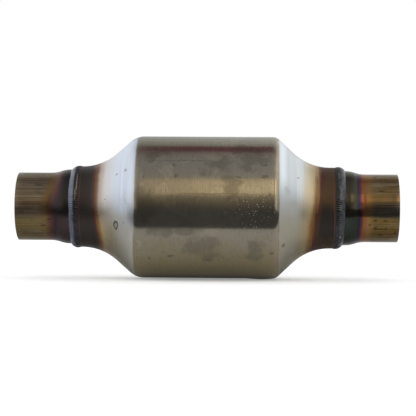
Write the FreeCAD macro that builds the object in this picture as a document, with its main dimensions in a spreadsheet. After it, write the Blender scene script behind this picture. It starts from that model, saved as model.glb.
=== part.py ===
"""Round catalytic converter with a spun stainless can and a flared pipe welded to each end.

The can is one tube. Each of its ends is spun down over a shoulder, a cone and a trumpet
curve to a short neck, where the metal gathers and is thicker. The flared end of a pipe
slips into each neck and is fillet welded to its edge. Inside the barrel a ceramic
honeycomb brick is held by a support mat, wrapped round it once and keyed at its seam.

Millimetres. The gas flows along X, from the inlet at -X to the outlet at +X. +Z is up, and
the origin is the middle of the whole converter, on its axis.
"""

import FreeCAD, Part
import enum
import math
import os
import Sketcher

from FreeCAD import Placement, Rotation, Vector

DRIVING_SIZES = [
    # the can
    ("can_diameter", 106.2, "outside of the barrel"),
    ("can_wall", 1.5, "sheet thickness of the barrel and the cones"),
    ("inlet_barrel", 47.5, "from the origin to the end of the straight barrel, inlet side"),
    ("outlet_barrel", 48.7, "from the origin to the end of the straight barrel, outlet side"),
    ("inlet_shoulder", 15.0, "outside radius between the barrel and the inlet cone"),
    ("outlet_shoulder", 7.0, "outside radius between the barrel and the outlet cone"),
    ("inlet_cone_slope", 41.0, "degrees between the inlet cone and the axis"),
    ("outlet_cone_slope", 43.0, "degrees between the outlet cone and the axis"),
    ("trumpet_bend", 40.0, "outside radius where a cone runs out into its neck"),
    ("neck_wall", 2.3, "thickness of both necks"),
    ("inlet_neck", 4.2, "length of the straight inlet neck"),
    ("outlet_neck", 6.0, "length of the straight outlet neck"),
    # the pipes
    ("pipe_diameter", 50.8, "outside of the plain end"),
    ("pipe_wall", 1.5, "wall of both pipes"),
    ("pipe_plain_end", 24.2, "straight length at the open end"),
    ("flare_rise", 2.5, "how far the pipe opens out, on the radius"),
    ("flare_length", 15.0, "length of the flare's S curve, along the axis"),
    ("pipe_insertion", 10.0, "how far a pipe goes into its neck"),
    ("pipe_edge_break", 0.25, "chamfer on the cut edges of the open end"),
    ("neck_fit", 0.15, "gap between a pipe and its neck, on the radius"),
    # the welds
    ("weld_leg", 4.2, "reach of a weld along the pipe, from the edge of the neck"),
    ("weld_lap", 2.2, "reach of a weld over the neck, from its edge"),
    ("weld_bulge", 1.3, "height of the round face of a weld over a straight one"),
    ("inlet_weld_lean", 0.2, "how far the top of the inlet weld runs out of square"),
    ("outlet_weld_lean", 1.0, "how far the top of the outlet weld runs out of square"),
    # the brick and its mat
    ("mat_thickness", 5.1, "thickness of the mat between the brick and the barrel"),
    ("mat_setback", 6.0, "from each end of the brick to the mat"),
    ("brick_setback", 3.1, "from each end of the straight barrel to the brick"),
    ("brick_skin", 0.9, "least wall between the cells and the outside of the brick"),
    ("cell_pitch", 4.3, "distance from one cell to the next"),
    ("cell_web", 0.6, "ceramic between two cells"),
    ("seam_gap", 0.8, "gap where the two ends of the mat meet"),
    ("tongue_width", 26.0, "width of the tongue that keys the mat's seam"),
    ("tongue_reach", 18.0, "how far the tongue reaches round the brick"),
]

SIDES = {"inlet": -1, "outlet": 1}
FACING = {"inlet": Rotation(Vector(0, 0, 1), 180), "outlet": Rotation()}
Z_TO_X = Rotation(Vector(0, 1, 0), 90)


class PointOn(enum.IntEnum):
    """A point of a sketch element, as the sketcher numbers it."""
    START = 1
    END = 2
    CENTRE = 3


class OwnAxis(enum.IntEnum):
    """An axis that every sketch has of its own, as the sketcher numbers it."""
    ACROSS = -1
    UP = -2


START, END, CENTRE = PointOn
SKETCH_ORIGIN = (OwnAxis.ACROSS, START)
SKETCH_V_AXIS = OwnAxis.UP

doc = FreeCAD.newDocument("catalytic_converter")


# ------------------------------------------------------------------ size sheet


def make_size_sheet():
    """One row for each driving size: its name, its value and what it means."""
    sheet = doc.addObject("Spreadsheet::Sheet", "Sizes")
    for row, (alias, value, meaning) in enumerate(DRIVING_SIZES, start=1):
        sheet.set(f"A{row}", alias)
        sheet.set(f"B{row}", str(value))
        sheet.set(f"C{row}", meaning)
        sheet.setAlias(f"B{row}", alias)
    doc.recompute()
    return sheet


SIZES = make_size_sheet()


def worked_out(formula):
    """The present value of a formula written in the sheet's names."""
    value = SIZES.evalExpression(formula)
    return float(getattr(value, "Value", value))


def bind(thing, **formulas):
    """Ties properties of a document object to formulas. Two underscores stand for a dot."""
    for name, formula in formulas.items():
        thing.setExpression(name.replace("__", "."), formula)
    return thing


# ------------------------------------------------------------------ half sections


class HalfSection:
    """A closed outline on a body's XZ plane, turned once about X into a solid.

    Each corner is (name, x, height over the axis, rounding radius, name of the line that
    follows it, or None where two arcs run into each other). The outline is first drawn
    from these values. Then the named dimensions and rules that the caller adds hold it,
    tied to the size sheet.
    """

    def __init__(self, label, corners):
        self.body = doc.addObject("PartDesign::Body", label)
        self.sketch = self.body.newObject("Sketcher::SketchObject", f"{label}_section")
        planes = self.body.Origin.OriginFeatures
        plane = next(feature for feature in planes if feature.Role == "XZ_Plane")
        self.sketch.AttachmentSupport = (plane, [""])
        self.sketch.MapMode = "FlatFace"
        self.lines = {}
        self.arcs = {}
        self.draw(corners)

    def draw(self, corners):
        """The lines, the arcs in the rounded corners, and how they join each other."""
        points = [Vector(x, height, 0) for _, x, height, _, _ in corners]
        bends = [
            rounding(points[i - 1], points[i], points[(i + 1) % len(points)], corners[i][3])
            for i in range(len(corners))
        ]
        walk = []
        for i, (corner, _, _, _, line) in enumerate(corners):
            leave, arrive = bends[i]["leave"], bends[(i + 1) % len(corners)]["arrive"]
            if "arc" in bends[i]:
                self.arcs[corner] = self.sketch.addGeometry(bends[i]["arc"], False)
                first, last = (START, END) if bends[i]["turns_left"] else (END, START)
                walk.append((self.arcs[corner], first, last, "Tangent"))
            if line:
                self.lines[line] = self.sketch.addGeometry(Part.LineSegment(leave, arrive), False)
                walk.append((self.lines[line], START, END, "Coincident"))
                self.level(line, arrive - leave)
        for i, (edge, first, _, joint) in enumerate(walk):
            before, _, last, joint_before = walk[i - 1]
            kind = "Tangent" if "Tangent" in (joint, joint_before) else "Coincident"
            self.rule(kind, before, last, edge, first)

    def level(self, line, run):
        """Holds a line flat or upright if it is drawn so."""
        if math.isclose(run.y, 0, abs_tol=1e-9):
            self.rule("Horizontal", self.lines[line])
        elif math.isclose(run.x, 0, abs_tol=1e-9):
            self.rule("Vertical", self.lines[line])

    def rule(self, kind, *where):
        return self.sketch.addConstraint(Sketcher.Constraint(kind, *where))

    def dimension(self, name, formula, kind, *where):
        """A named dimension whose value is a formula of the size sheet."""
        value = worked_out(formula)
        index = self.rule(kind, *where, math.radians(value) if kind == "Angle" else value)
        self.sketch.renameConstraint(index, name)
        self.sketch.setExpression(f"Constraints.{name}", formula)

    def height(self, line, formula):
        """How far the start of a line is from the axis."""
        where = (*SKETCH_ORIGIN, self.lines[line], START)
        self.dimension(f"{line}_height", formula, "DistanceY", *where)

    def radius(self, corner, formula):
        self.dimension(f"{corner}_radius", formula, "Radius", self.arcs[corner])

    def slope(self, line, formula):
        self.dimension(f"{line}_slope", formula, "Angle", self.lines[line])

    def across(self, name, formula, left, right):
        """How far one point lies to the right of another, each a (line or arc, end)."""
        self.dimension(name, formula, "DistanceX", *left, *right)

    def reading(self, name, left, right):
        """A named distance that the dimensions lead to, for other pieces to use."""
        index = self.rule("DistanceX", *left, *right, 0.0)
        self.sketch.setDriving(index, False)
        self.sketch.renameConstraint(index, name)

    def turned(self):
        """The body, once its outline is turned about the X axis."""
        turn = self.body.newObject("PartDesign::Revolution", f"{self.body.Label}_turn")
        turn.Profile = self.sketch
        turn.ReferenceAxis = (self.sketch, ["H_Axis"])
        turn.Angle = 360.0
        self.body.Tip = turn
        return self.body


def rounding(before, corner, after, radius):
    """Where the outline arrives at a corner and leaves it, and the arc between the two."""
    if not radius:
        return {"arrive": corner, "leave": corner}
    inward = (corner - before).normalize()
    outward = (after - corner).normalize()
    turns_left = inward.x * outward.y - inward.y * outward.x > 0
    tangent = radius * math.tan(inward.getAngle(outward) / 2)
    arrive = corner - inward * tangent
    leave = corner + outward * tangent
    to_centre = radius if turns_left else -radius
    centre = arrive + Vector(-inward.y, inward.x, 0) * to_centre
    first, last = (arrive, leave) if turns_left else (leave, arrive)
    arc = Part.ArcOfCircle(
        Part.Circle(centre, Vector(0, 0, 1), radius),
        math.atan2(first.y - centre.y, first.x - centre.x),
        math.atan2(last.y - centre.y, last.x - centre.x),
    )
    return {"arrive": arrive, "leave": leave, "arc": arc, "turns_left": turns_left}


def inner_to_outer(sign, point):
    """The origin and a point on one side of it, the left one of the two first."""
    return (SKETCH_ORIGIN, point) if sign > 0 else (point, SKETCH_ORIGIN)


# ------------------------------------------------------------------ can

FLARED_RADIUS = "(Sizes.pipe_diameter / 2 + Sizes.flare_rise)"
NECK_BORE = f"({FLARED_RADIUS} + Sizes.neck_fit)"
NECK_OUTSIDE = f"({NECK_BORE} + Sizes.neck_wall)"
CAN_BORE = "(Sizes.can_diameter / 2 - Sizes.can_wall)"

CAN_SKINS = {
    "outer": {
        "barrel": "Sizes.can_diameter / 2",
        "neck": NECK_OUTSIDE,
        "shoulder": "Sizes.{side}_shoulder",
        "trumpet": "Sizes.trumpet_bend",
    },
    "inner": {
        "barrel": CAN_BORE,
        "neck": NECK_BORE,
        "shoulder": "Sizes.{side}_shoulder - Sizes.can_wall",
        "trumpet": "Sizes.trumpet_bend + Sizes.neck_wall",
    },
}


def cone_corners(skin, side):
    """Distances from the origin where a cone's line meets those of the barrel and the neck."""
    slope = math.radians(worked_out(f"Sizes.{side}_cone_slope"))
    shoulder = worked_out(CAN_SKINS[skin]["shoulder"].format(side=side))
    drop = worked_out(f"{CAN_SKINS[skin]['barrel']} - {CAN_SKINS[skin]['neck']}")
    barrel_corner = worked_out(f"Sizes.{side}_barrel") + shoulder * math.tan(slope / 2)
    return barrel_corner, barrel_corner + drop / math.tan(slope)


def neck_edge(side):
    """Distance from the origin to the edge of a neck."""
    slope = math.radians(worked_out(f"Sizes.{side}_cone_slope"))
    bend = worked_out("Sizes.trumpet_bend") * math.tan(slope / 2)
    return cone_corners("outer", side)[1] + bend + worked_out(f"Sizes.{side}_neck")


def can_end(skin, side):
    """The corners of one end of a skin, from the neck's edge to the shoulder."""
    sign, radii = SIDES[side], CAN_SKINS[skin]
    barrel_corner, neck_corner = cone_corners(skin, side)
    barrel, neck = worked_out(radii["barrel"]), worked_out(radii["neck"])
    shoulder = worked_out(radii["shoulder"].format(side=side))
    return [
        (f"{skin}_{side}_edge", sign * neck_edge(side), neck, 0),
        (f"{skin}_{side}_trumpet", sign * neck_corner, neck, worked_out(radii["trumpet"])),
        (f"{skin}_{side}_shoulder", sign * barrel_corner, barrel, shoulder),
    ]


def can_corners():
    """The can's outline: its outer skin from the inlet to the outlet, then its inner skin."""
    corners = []
    for skin, first, last in (("outer", "inlet", "outlet"), ("inner", "outlet", "inlet")):
        skin_corners = can_end(skin, first) + can_end(skin, last)[::-1]
        first_lines, last_lines = (f"{first}_neck", f"{first}_cone"), (f"{last}_cone", f"{last}_neck")
        lines = [*first_lines, "barrel", *last_lines, f"{last}_rim"]
        corners += [(*corner, f"{skin}_{line}") for corner, line in zip(skin_corners, lines)]
    return corners


def make_can():
    """The spun tube, with a neck, trumpet, cone and shoulder at each end of the barrel."""
    section = HalfSection("can", can_corners())
    for skin, radii in CAN_SKINS.items():
        section.height(f"{skin}_barrel", radii["barrel"])
        for side, sign in SIDES.items():
            shoulder, trumpet = f"{skin}_{side}_shoulder", f"{skin}_{side}_trumpet"
            section.height(f"{skin}_{side}_neck", radii["neck"])
            section.radius(trumpet, radii["trumpet"])
            section.radius(shoulder, radii["shoulder"].format(side=side))
            centre = inner_to_outer(sign, (section.arcs[shoulder], CENTRE))
            section.across(f"{shoulder}_station", f"Sizes.{side}_barrel", *centre)
    for side, sign in SIDES.items():
        outer_cone, neck = section.lines[f"outer_{side}_cone"], section.lines[f"outer_{side}_neck"]
        section.slope(f"outer_{side}_cone", f"{-sign} * Sizes.{side}_cone_slope")
        section.rule("Parallel", outer_cone, section.lines[f"inner_{side}_cone"])
        section.dimension(f"{side}_neck_length", f"Sizes.{side}_neck", "Distance", neck)
        edge = inner_to_outer(sign, (neck, END if sign > 0 else START))
        section.reading(f"{side}_neck_edge", *edge)
    return section.turned()


# ------------------------------------------------------------------ pipes


def pipe_corners(land):
    """A pipe's outline, from its flared end at x = 0 to its open end."""
    wall, edge_break = worked_out("Sizes.pipe_wall"), worked_out("Sizes.pipe_edge_break")
    plain, flared = worked_out("Sizes.pipe_diameter / 2"), worked_out(FLARED_RADIUS)
    rise, length = worked_out("Sizes.flare_rise"), worked_out("Sizes.flare_length")
    bend = (rise**2 + length**2) / (4 * rise)
    steepest = math.asin(length / (2 * bend))
    reach = math.tan(steepest / 2)
    foot = land + length
    mouth = foot + worked_out("Sizes.pipe_plain_end")
    return [
        ("flared_edge", 0, flared, 0, "land"),
        ("flare_top", land + bend * reach, flared, bend, None),
        ("flare_foot", foot - bend * reach, plain, bend, "plain"),
        ("outside_edge", mouth - edge_break, plain, 0, "outside_break"),
        ("mouth_outside", mouth, plain - edge_break, 0, "mouth"),
        ("mouth_bore", mouth, plain - wall + edge_break, 0, "bore_break"),
        ("bore_edge", mouth - edge_break, plain - wall, 0, "plain_bore"),
        ("bore_foot", foot - (bend + wall) * reach, plain - wall, bend + wall, None),
        ("bore_top", land + (bend - wall) * reach, flared - wall, bend - wall, "land_bore"),
        ("flared_bore", 0, flared - wall, 0, "flared_rim"),
    ]


def make_pipe(side):
    """A pipe whose inner end is flared in an S curve to fit the neck."""
    land = f"Sizes.pipe_insertion + Sizes.weld_leg + Sizes.{side}_weld_lean"
    section = HalfSection(f"{side}_pipe", pipe_corners(worked_out(land)))
    lines, arcs = section.lines, section.arcs
    section.height("land", FLARED_RADIUS)
    section.height("land_bore", f"{FLARED_RADIUS} - Sizes.pipe_wall")
    section.height("plain", "Sizes.pipe_diameter / 2")
    section.height("plain_bore", "Sizes.pipe_diameter / 2 - Sizes.pipe_wall")
    section.rule("PointOnObject", lines["land"], START, SKETCH_V_AXIS)
    land_ends = [(lines["land"], START), (lines["land"], END)]
    stations = [*land_ends, (lines["plain"], START), (lines["mouth"], START)]
    lengths = {"land": land, "flare": "Sizes.flare_length", "plain": "Sizes.pipe_plain_end"}
    for (name, length), left, right in zip(lengths.items(), stations, stations[1:]):
        section.across(f"{name}_length", length, left, right)
    section.rule("Equal", arcs["flare_top"], arcs["flare_foot"])
    section.rule("Coincident", arcs["flare_top"], CENTRE, arcs["bore_top"], CENTRE)
    section.rule("Vertical", arcs["flare_foot"], CENTRE, arcs["bore_foot"], CENTRE)
    for line, left, right in (("outside_break", START, END), ("bore_break", END, START)):
        broken = lines[line]
        section.across(f"{line}_along", "Sizes.pipe_edge_break", (broken, left), (broken, right))
        drop = (broken, END, broken, START)
        section.dimension(f"{line}_down", "Sizes.pipe_edge_break", "DistanceY", *drop)
    pipe = section.turned()
    pipe.Placement = Placement(Vector(), FACING[side])
    inner_end = f"can_section.Constraints.{side}_neck_edge - Sizes.pipe_insertion * 1 mm"
    return bind(pipe, Placement__Base__x=f"{SIDES[side]} * ({inner_end})")


# ------------------------------------------------------------------ welds

# the straight line between a weld's two toes, and the radius of the arc that bulges over it
WELD_REACH = "(Sizes.weld_leg + Sizes.weld_lap)"
WELD_STEP = "(Sizes.neck_fit + Sizes.neck_wall)"
WELD_CHORD = f"sqrt({WELD_REACH} ^ 2 + {WELD_STEP} ^ 2)"
WELD_RADIUS = f"(({WELD_CHORD} ^ 2 / 4 + Sizes.weld_bulge ^ 2) / (2 * Sizes.weld_bulge))"
WELD_DEPTH = f"({WELD_RADIUS} - Sizes.weld_bulge)"


def make_weld(side):
    """A fillet weld: a round bead about the joint, less the metal of the pipe and the neck.

    Its own frame has x = 0 at the neck's edge, and X away from the can.
    """
    bead = doc.addObject("Part::Torus", f"{side}_bead")
    bead.Placement = Placement(Vector(), Z_TO_X)
    ring = f"{FLARED_RADIUS} + {WELD_STEP} / 2 - {WELD_DEPTH} * {WELD_REACH} / {WELD_CHORD}"
    along = f"(Sizes.weld_leg - Sizes.weld_lap) / 2 - {WELD_DEPTH} * {WELD_STEP} / {WELD_CHORD}"
    lean = f"90 deg + atan(Sizes.{side}_weld_lean / {FLARED_RADIUS})"
    bind(bead, Radius1=ring, Radius2=WELD_RADIUS)
    bind(bead, Placement__Base__x=along, Placement__Rotation__Angle=lean)

    cores = []
    for name, radius, start in (("neck", NECK_OUTSIDE, -1), ("pipe", FLARED_RADIUS, 0)):
        core = doc.addObject("Part::Cylinder", f"{side}_{name}_core")
        core.Placement = Placement(Vector(), Z_TO_X)
        depth = f"4 * {WELD_RADIUS}"
        cores.append(bind(core, Radius=radius, Height=depth, Placement__Base__x=f"{start} * {depth}"))
    metal = doc.addObject("Part::MultiFuse", f"{side}_weld_metal")
    metal.Shapes = cores
    weld = doc.addObject("Part::Cut", f"{side}_weld")
    weld.Base = bead
    weld.Tool = metal
    weld.Placement = Placement(Vector(), FACING[side])
    edge = f"can_section.Constraints.{side}_neck_edge"
    return bind(weld, Placement__Base__x=f"{SIDES[side]} * {edge}")


# ------------------------------------------------------------------ brick and mat

BRICK_RADIUS = f"({CAN_BORE} - Sizes.mat_thickness)"
BRICK_LENGTH = "(Sizes.inlet_barrel + Sizes.outlet_barrel - 2 * Sizes.brick_setback)"
MAT_LENGTH = f"({BRICK_LENGTH} - 2 * Sizes.mat_setback)"
BARREL_MIDDLE = "(Sizes.outlet_barrel - Sizes.inlet_barrel) / 2"


def make_brick():
    """The ceramic brick: a round face full of square cells, drawn out along the axis."""
    face = doc.addObject("Part::Feature", "brick_face")
    face.Shape = honeycomb_face()
    brick = doc.addObject("Part::Extrusion", "honeycomb_brick")
    brick.Base = face
    brick.DirMode = "Custom"
    brick.Dir = Vector(0, 0, 1)
    brick.Symmetric = True
    brick.Solid = True
    brick.Placement = Placement(Vector(), Z_TO_X)
    return bind(brick, LengthFwd=BRICK_LENGTH, Placement__Base__x=BARREL_MIDDLE)


def honeycomb_face():
    """A disc with a square hole for each whole cell that fits inside the brick's skin."""
    radius = worked_out(BRICK_RADIUS)
    room = radius - worked_out("Sizes.brick_skin")
    pitch = worked_out("Sizes.cell_pitch")
    half_cell = (pitch - worked_out("Sizes.cell_web")) / 2
    count = int(room / pitch)
    cells = []
    for row in range(-count, count + 1):
        for column in range(-count, count + 1):
            x, y = column * pitch, row * pitch
            if math.hypot(abs(x) + half_cell, abs(y) + half_cell) > room:
                continue
            corners = [
                Vector(x - half_cell, y - half_cell, 0),
                Vector(x + half_cell, y - half_cell, 0),
                Vector(x + half_cell, y + half_cell, 0),
                Vector(x - half_cell, y + half_cell, 0),
            ]
            cells.append(Part.makePolygon([*corners, corners[0]]))
    disc = Part.Wire(Part.makeCircle(radius))
    return Part.makeFace([disc, *cells], "Part::FaceMakerBullseye")


def make_mat():
    """The support mat: a sleeve on the brick, slit along a tongue and groove seam below.

    Its own frame has the axis along Z, with the seam on the side of +X.
    """
    sleeve = make_mat_core("mat_sleeve", CAN_BORE)
    bore = make_mat_core("mat_bore", BRICK_RADIUS)
    half, flank, tongue = f"{MAT_LENGTH} / 2", "Sizes.tongue_width / 2", "Sizes.tongue_reach"
    slits = [
        make_slit("near_run", "0", "0", f"-1 * ({half} + {flank})", half),
        make_slit("near_flank", "0", tongue, f"-1 * {flank}", "0"),
        make_slit("tongue_end", tongue, "0", f"-1 * {flank}", "Sizes.tongue_width"),
        make_slit("far_flank", "0", tongue, flank, "0"),
        make_slit("far_run", "0", "0", flank, half),
    ]
    openings = doc.addObject("Part::MultiFuse", "mat_openings")
    openings.Shapes = [bore, *slits]
    mat = doc.addObject("Part::Cut", "support_mat")
    mat.Base = sleeve
    mat.Tool = openings
    mat.Placement = Placement(Vector(), Z_TO_X)
    return bind(mat, Placement__Base__x=BARREL_MIDDLE)


def make_mat_core(label, radius):
    """A cylinder as long as the mat, about its middle."""
    core = doc.addObject("Part::Cylinder", label)
    return bind(core, Radius=radius, Height=MAT_LENGTH, Placement__Base__z=f"-0.5 * {MAT_LENGTH}")


def make_slit(label, across, width, along, length):
    """A slit through the mat round a flat run of the seam, half a seam gap to each side."""
    slit = doc.addObject("Part::Box", label)
    half_gap = "Sizes.seam_gap / 2"
    bind(slit, Length=CAN_BORE, Placement__Base__x=f"{BRICK_RADIUS} / 2")
    bind(slit, Width=f"{width} + Sizes.seam_gap", Placement__Base__y=f"{across} - {half_gap}")
    return bind(slit, Height=f"{length} + Sizes.seam_gap", Placement__Base__z=f"{along} - {half_gap}")


# ------------------------------------------------------------------ converter


def make_converter():
    """Every piece of the converter, each with the name of its node."""
    pieces = [make_can()]
    for side in SIDES:
        pieces += [make_pipe(side), make_weld(side)]
    pieces += [make_brick(), make_mat()]
    return pieces


def check(pieces):
    """Stops the build where an object failed or a piece is not one valid solid."""
    for thing in doc.Objects:
        if {"Invalid", "Error"} & set(thing.State):
            raise RuntimeError(f"{thing.Label} did not build: {thing.State}")
    for piece in pieces:
        if piece.Shape.isNull() or not piece.Shape.isValid() or len(piece.Shape.Solids) != 1:
            raise RuntimeError(f"{piece.Label} is not one valid solid")


def export(pieces):
    os.makedirs("parts", exist_ok=True)
    for piece in pieces:
        piece.Shape.exportStep(f"parts/{piece.Label}.step")


converter = make_converter()
doc.recompute()
check(converter)
export(converter)
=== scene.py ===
import math

import bmesh
import bpy
from bpy.props import FloatProperty, FloatVectorProperty, IntProperty, PointerProperty
from mathutils import Matrix, Vector, noise


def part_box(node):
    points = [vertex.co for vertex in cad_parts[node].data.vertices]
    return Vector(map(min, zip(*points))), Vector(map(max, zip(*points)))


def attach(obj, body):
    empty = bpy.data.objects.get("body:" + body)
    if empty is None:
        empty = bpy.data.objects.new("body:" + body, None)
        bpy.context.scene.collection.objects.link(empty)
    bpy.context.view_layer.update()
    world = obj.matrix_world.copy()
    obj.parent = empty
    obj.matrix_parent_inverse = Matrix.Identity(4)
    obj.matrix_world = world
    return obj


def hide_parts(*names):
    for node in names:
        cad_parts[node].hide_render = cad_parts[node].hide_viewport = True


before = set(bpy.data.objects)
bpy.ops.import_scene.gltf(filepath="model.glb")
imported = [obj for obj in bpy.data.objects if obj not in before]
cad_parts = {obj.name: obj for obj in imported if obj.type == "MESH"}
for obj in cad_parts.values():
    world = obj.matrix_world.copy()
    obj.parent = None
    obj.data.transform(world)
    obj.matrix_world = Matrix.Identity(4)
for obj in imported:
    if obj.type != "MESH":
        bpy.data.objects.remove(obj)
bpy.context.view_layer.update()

bl_info = {
    "name": "Catalytic Converter",
    "version": (1, 0, 0),
    "blender": (4, 5, 0),
    "location": "3D View > Sidebar > Converter",
    "description": "Builds a spun catalytic converter with its pipes, welds and ceramic core",
    "category": "Add Mesh",
}

AXIS = Vector((1, 0, 0))
ORIGIN = Vector((0, 0, 0))
FULL_TURN = math.radians(360)
RIGHT_ANGLE = math.radians(90)
MM = 0.001
CAN_LOW, CAN_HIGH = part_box("can")
BRICK_LOW, BRICK_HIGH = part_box("honeycomb_brick")
INLET_LOW, INLET_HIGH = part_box("inlet_pipe")
OUTLET_LOW, OUTLET_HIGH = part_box("outlet_pipe")

SHARP = math.radians(32)     # an edge sharper than this stays sharp in the shading
CAN_LIP = 0.3 * MM           # round edges of the necks
PIPE_LIP = 0.25 * MM         # round edges of the pipes
LIP_STEPS = 3
TRUMPET_STEPS = 20
SHOULDER_STEPS = 14
FLARE_STEPS = 10
BEAD_STEPS = 14
BULGE = 0.6 * MM             # how far the barrel is pressed out, low near the outlet
FLOOR_GAP = 0.2 * MM         # from that bulge to the floor


def length(name, millimetres, description):
    """A size in metres that the panel shows as a length."""
    return FloatProperty(name=name, description=description, default=millimetres * MM,
                         min=0, unit="LENGTH", precision=5)


def slope(name, degrees, description):
    """A slope that the panel shows in degrees."""
    return FloatProperty(name=name, description=description, default=math.radians(degrees),
                         subtype="ANGLE", unit="ROTATION")


def tint(name, red, green, blue, description):
    """A linear colour that the panel shows as a swatch."""
    return FloatVectorProperty(name=name, description=description, default=(red, green, blue),
                               subtype="COLOR", size=3, min=0, max=1)


# ---- Sizes and colours

class ConverterSizes(bpy.types.PropertyGroup):
    """The sizes of the metalwork and of the ceramic core."""
    can_radius: length("Can radius", CAN_HIGH.z / MM, "Outside radius of the barrel")
    can_wall: length("Can wall", 1.5, "Thickness of the rolled sheet")
    neck_wall: length("Neck wall", 2.3, "Thickness where spinning has gathered the metal")
    neck_bore: length("Neck bore", 28.05, "Inside radius of both necks")
    inlet_barrel: length("Inlet half of the barrel", 47.5, "Straight barrel on the inlet side")
    outlet_barrel: length("Outlet half of the barrel", 48.7, "Straight barrel on the outlet side")
    inlet_shoulder: length("Inlet shoulder", 15, "Outside radius of the inlet shoulder")
    outlet_shoulder: length("Outlet shoulder", 7, "Outside radius of the outlet shoulder")
    inlet_slope: slope("Inlet cone", 41, "Slope of the inlet cone")
    outlet_slope: slope("Outlet cone", 43, "Slope of the outlet cone")
    trumpet: length("Trumpet bend", 40, "Outside radius where a cone runs into its neck")
    pipe_radius: length("Pipe radius", 25.4, "Outside radius of the plain pipe ends")
    pipe_wall: length("Pipe wall", 1.5, "Thickness of both pipes")
    pipe_plain: length("Plain end", 24.2, "Straight pipe outside its flare")
    flare_rise: length("Flare rise", 2.5, "How far each flare opens")
    flare_length: length("Flare length", 15, "Length of each flare")
    weld_width: length("Weld width", 7.1, "From a weld's edge on the neck to its edge on the pipe")
    inlet_lap: length("Inlet weld lap", 3.5, "How far the inlet weld laps over its neck")
    outlet_lap: length("Outlet weld lap", 2.6, "How far the outlet weld laps over its neck")
    weld_bulge: length("Weld bulge", 1.3, "How proud a weld stands of its chord")
    ripple: length("Weld ripple", 0.1, "Height of the ripples along a weld")
    cell_pitch: length("Cell pitch", 1.3, "Distance from one honeycomb cell to the next")
    cell_web: length("Cell web", 0.22, "Thickness of the ceramic between cells")
    spin_steps: IntProperty(name="Steps around", description="Facets around each turned piece",
                            default=256, min=48, max=720)


class ConverterColours(bpy.types.PropertyGroup):
    """The colours of the finishes."""
    bright_steel: tint("Spun steel", 0.66, 0.73, 0.84, "Clean steel of the cones")
    worn_steel: tint("Barrel steel", 0.31, 0.28, 0.225, "Handled steel of the barrel")
    # painted reflection, warmer and darker low on the cones
    sheen: tint("Cone haze", 0.46, 0.43, 0.35, "Straw-grey haze low on the cones")
    straw: tint("Straw tint", 0.46, 0.36, 0.2, "Faint heat tint, furthest from a weld")
    bronze: tint("Bronze tint", 0.27, 0.135, 0.05, "Stronger heat tint")
    purple: tint("Purple tint", 0.115, 0.052, 0.042, "Heat tint close to a weld")
    scale: tint("Heat scale", 0.056, 0.048, 0.042, "Dark scale beside a weld")
    inlet_steel: tint("Inlet pipe", 0.245, 0.195, 0.13, "Olive brown of the inlet pipe")
    outlet_steel: tint("Outlet pipe", 0.225, 0.15, 0.07, "Golden brown of the outlet pipe")
    # painted highlight on the weld flanks, tinted by the blue-grey oxide
    weld_metal: tint("Weld metal", 0.17, 0.185, 0.235, "Blue-grey of the clean weld flanks")
    ceramic: tint("Ceramic", 0.76, 0.68, 0.55, "Coated cordierite of the honeycomb")
    fibre: tint("Mat fibre", 0.62, 0.58, 0.5, "Expanding fibre of the support mat")


class StudioSettings(bpy.types.PropertyGroup):
    """The camera and the light."""
    lens: FloatProperty(name="Lens", description="Focal length in millimetres", default=129.6)
    distance: length("Distance", 1127, "From the camera to the middle of the can")
    azimuth: slope("Azimuth", 1.78, "How far the camera stands round to the outlet side")
    roll: slope("Roll", 0.37, "How far the camera leans")
    aim: FloatVectorProperty(name="Aim", description="Point that the camera looks at",
                             default=(0.00034, 0, -0.00049), subtype="TRANSLATION")
    light: FloatProperty(name="Light level", description="Strength of the white surroundings",
                         default=1.0, min=0)


# ---- Modelling

def corners(geometry):
    """The vertices in the geometry that an operator gives back."""
    return [part for part in geometry if isinstance(part, bmesh.types.BMVert)]


class Outline:
    """Half of a turned section, drawn by walking round it with straight runs and round bends."""

    def __init__(self, bm, along, radius, heading=0.0):
        self.bm = bm
        self.first = self.tip = bm.verts.new((along, 0, radius))
        self.heading = heading

    def run(self, distance, pieces=1):
        """Walks straight on, in one piece or more."""
        ahead = Vector((math.cos(self.heading), 0, math.sin(self.heading)))
        for _ in range(pieces):
            drawn = bmesh.ops.extrude_vert_indiv(self.bm, verts=[self.tip])
            self.tip = drawn["verts"][0]
            bmesh.ops.translate(self.bm, verts=[self.tip], vec=ahead * distance / pieces)

    def bend(self, radius, angle, steps):
        """Walks round an arc, to the left for a positive angle."""
        left = Vector((-math.sin(self.heading), 0, math.cos(self.heading)))
        centre = self.tip.co + left * math.copysign(radius, angle)
        drawn = bmesh.ops.spin(self.bm, geom=[self.tip], cent=centre, axis=(0, -1, 0),
                               angle=angle, steps=steps)
        self.tip = corners(drawn["geom_last"])[0]
        self.heading += angle

    def cut_end(self, width, lip, last_steps=LIP_STEPS):
        """Walks down the cut end of a tube, round both of its edges."""
        self.bend(lip, -RIGHT_ANGLE, LIP_STEPS)
        self.run(width - 2 * lip)
        self.bend(lip, -RIGHT_ANGLE, last_steps)

    def turned(self, side, steps):
        """Closes the outline and turns it round the axis, on the outlet side or the inlet's."""
        bm = self.bm
        bm.edges.new((self.tip, self.first))
        bmesh.ops.scale(bm, verts=bm.verts, vec=(side, 1, 1))
        bmesh.ops.spin(bm, geom=bm.verts[:] + bm.edges[:], cent=ORIGIN, axis=AXIS,
                       angle=FULL_TURN, steps=steps, use_merge=True)
        bmesh.ops.remove_doubles(bm, verts=bm.verts, dist=1e-6)
        bmesh.ops.recalc_face_normals(bm, faces=bm.faces)


def pressed(bm, centre, reach, push):
    """Pushes the skin round a point, fading out over the reach along, across and up."""
    for vert in bm.verts:
        apart = vert.co - Vector(centre)
        spread = Vector((apart.x / reach[0], apart.y / reach[1], apart.z / reach[2])).length
        if spread < 1:
            vert.co += Vector(push) * (1 - spread * spread) ** 2


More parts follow.
